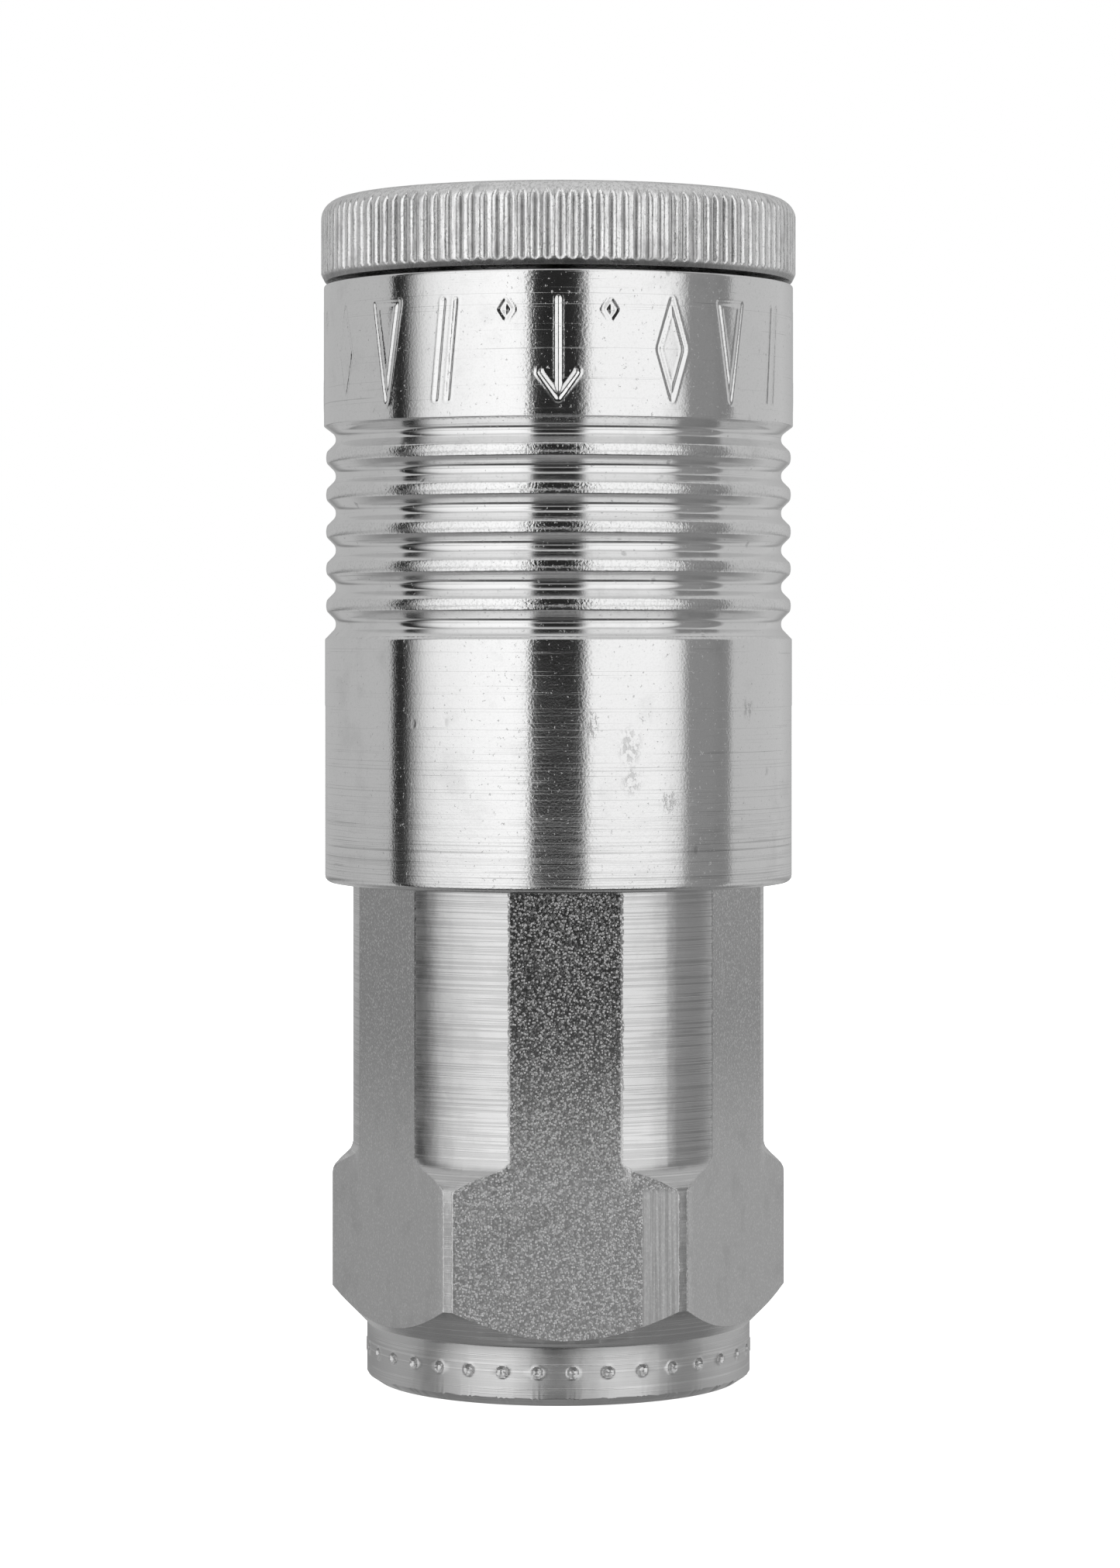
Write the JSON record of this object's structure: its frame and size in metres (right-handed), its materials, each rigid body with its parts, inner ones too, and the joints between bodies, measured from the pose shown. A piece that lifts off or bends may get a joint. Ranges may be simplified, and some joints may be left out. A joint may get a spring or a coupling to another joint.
{
  "type": "quick disconnect coupler",
  "caption": "Zinc-plated quick disconnect coupler: hex body with a pipe port, grooved locking sleeve, knurled nose ring, ball lock and a sprung shut-off valve.",
  "frame": {"origin": "centre of the port's end face, on the coupler's axis", "axes": "+Z along the axis from the port to the mouth; one flat of the hexagon faces -Y"},
  "size_m": [0.0322, 0.0322, 0.0799],
  "materials": {
    "plated_body": "zinc plated, hexagon flats as rolled, the rest turned",
    "plated_tube": "zinc plated, turned",
    "plated_nose_ring": "zinc plated, straight knurl",
    "plated_sleeve": "bright zinc plated, finely turned",
    "spring_steel": "drawn spring wire and punched sheet",
    "ball_steel": "polished hardened steel",
    "valve_brass": "turned",
    "seal_rubber": "moulded nitrile rubber",
    "backup_plastic": "machined"
  },
  "bodies": {
    "root": {"hex_body": "plated_body", "socket_tube": "plated_tube", "nose_ring": "plated_nose_ring", "nose_snap_ring": "spring_steel", "body_o_ring": "seal_rubber", "plug_seal": "seal_rubber", "plug_seal_backup_ring": "backup_plastic", "valve_guide": "valve_brass", "sleeve_spring": "spring_steel", "valve_spring": "spring_steel"},
    "spring_washer": {"sleeve_spring_washer": "spring_steel"},
    "sleeve": {"locking_sleeve": "plated_sleeve"},
    "valve": {"valve_poppet": "valve_brass", "valve_seal": "seal_rubber"},
    "ball_1": {"locking_ball_1": "ball_steel"},
    "ball_2": {"locking_ball_2": "ball_steel"},
    "ball_3": {"locking_ball_3": "ball_steel"},
    "ball_4": {"locking_ball_4": "ball_steel"},
    "ball_5": {"locking_ball_5": "ball_steel"},
    "ball_6": {"locking_ball_6": "ball_steel"},
    "ball_7": {"locking_ball_7": "ball_steel"},
    "ball_8": {"locking_ball_8": "ball_steel"}
  },
  "joints": [
    {"name": "sleeve_slide", "type": "slide", "parent": "root", "child": "spring_washer", "axis": [0, 0, -1], "range_m": [0, 0.005], "stiffness_N_per_m": 3000, "springref_m": -0.005, "deforming": ["sleeve_spring"]},
    {"name": "sleeve_spin", "type": "hinge", "parent": "spring_washer", "child": "sleeve", "pos_m": [0, 0, 0.055], "axis": [0, 0, 1], "continuous": true},
    {"name": "valve_slide", "type": "slide", "parent": "root", "child": "valve", "axis": [0, 0, -1], "range_m": [0, 0.0048], "stiffness_N_per_m": 900, "springref_m": -0.006, "deforming": ["valve_spring"]},
    {"name": "ball_1_lift", "type": "slide", "parent": "root", "child": "ball_1", "axis": [0.9239, 0.3827, 0], "range_m": [0, 0.00142]},
    {"name": "ball_2_lift", "type": "slide", "parent": "root", "child": "ball_2", "axis": [0.3827, 0.9239, 0], "range_m": [0, 0.00142]},
    {"name": "ball_3_lift", "type": "slide", "parent": "root", "child": "ball_3", "axis": [-0.3827, 0.9239, 0], "range_m": [0, 0.00142]},
    {"name": "ball_4_lift", "type": "slide", "parent": "root", "child": "ball_4", "axis": [-0.9239, 0.3827, 0], "range_m": [0, 0.00142]},
    {"name": "ball_5_lift", "type": "slide", "parent": "root", "child": "ball_5", "axis": [-0.9239, -0.3827, 0], "range_m": [0, 0.00142]},
    {"name": "ball_6_lift", "type": "slide", "parent": "root", "child": "ball_6", "axis": [-0.3827, -0.9239, 0], "range_m": [0, 0.00142]},
    {"name": "ball_7_lift", "type": "slide", "parent": "root", "child": "ball_7", "axis": [0.3827, -0.9239, 0], "range_m": [0, 0.00142]},
    {"name": "ball_8_lift", "type": "slide", "parent": "root", "child": "ball_8", "axis": [0.9239, -0.3827, 0], "range_m": [0, 0.00142]}
  ],
  "couplings": [
    {"joint": "ball_1_lift", "follows": "sleeve_slide", "ratio": 0.28},
    {"joint": "ball_2_lift", "follows": "sleeve_slide", "ratio": 0.28},
    {"joint": "ball_3_lift", "follows": "sleeve_slide", "ratio": 0.28},
    {"joint": "ball_4_lift", "follows": "sleeve_slide", "ratio": 0.28},
    {"joint": "ball_5_lift", "follows": "sleeve_slide", "ratio": 0.28},
    {"joint": "ball_6_lift", "follows": "sleeve_slide", "ratio": 0.28},
    {"joint": "ball_7_lift", "follows": "sleeve_slide", "ratio": 0.28},
    {"joint": "ball_8_lift", "follows": "sleeve_slide", "ratio": 0.28}
  ]
}
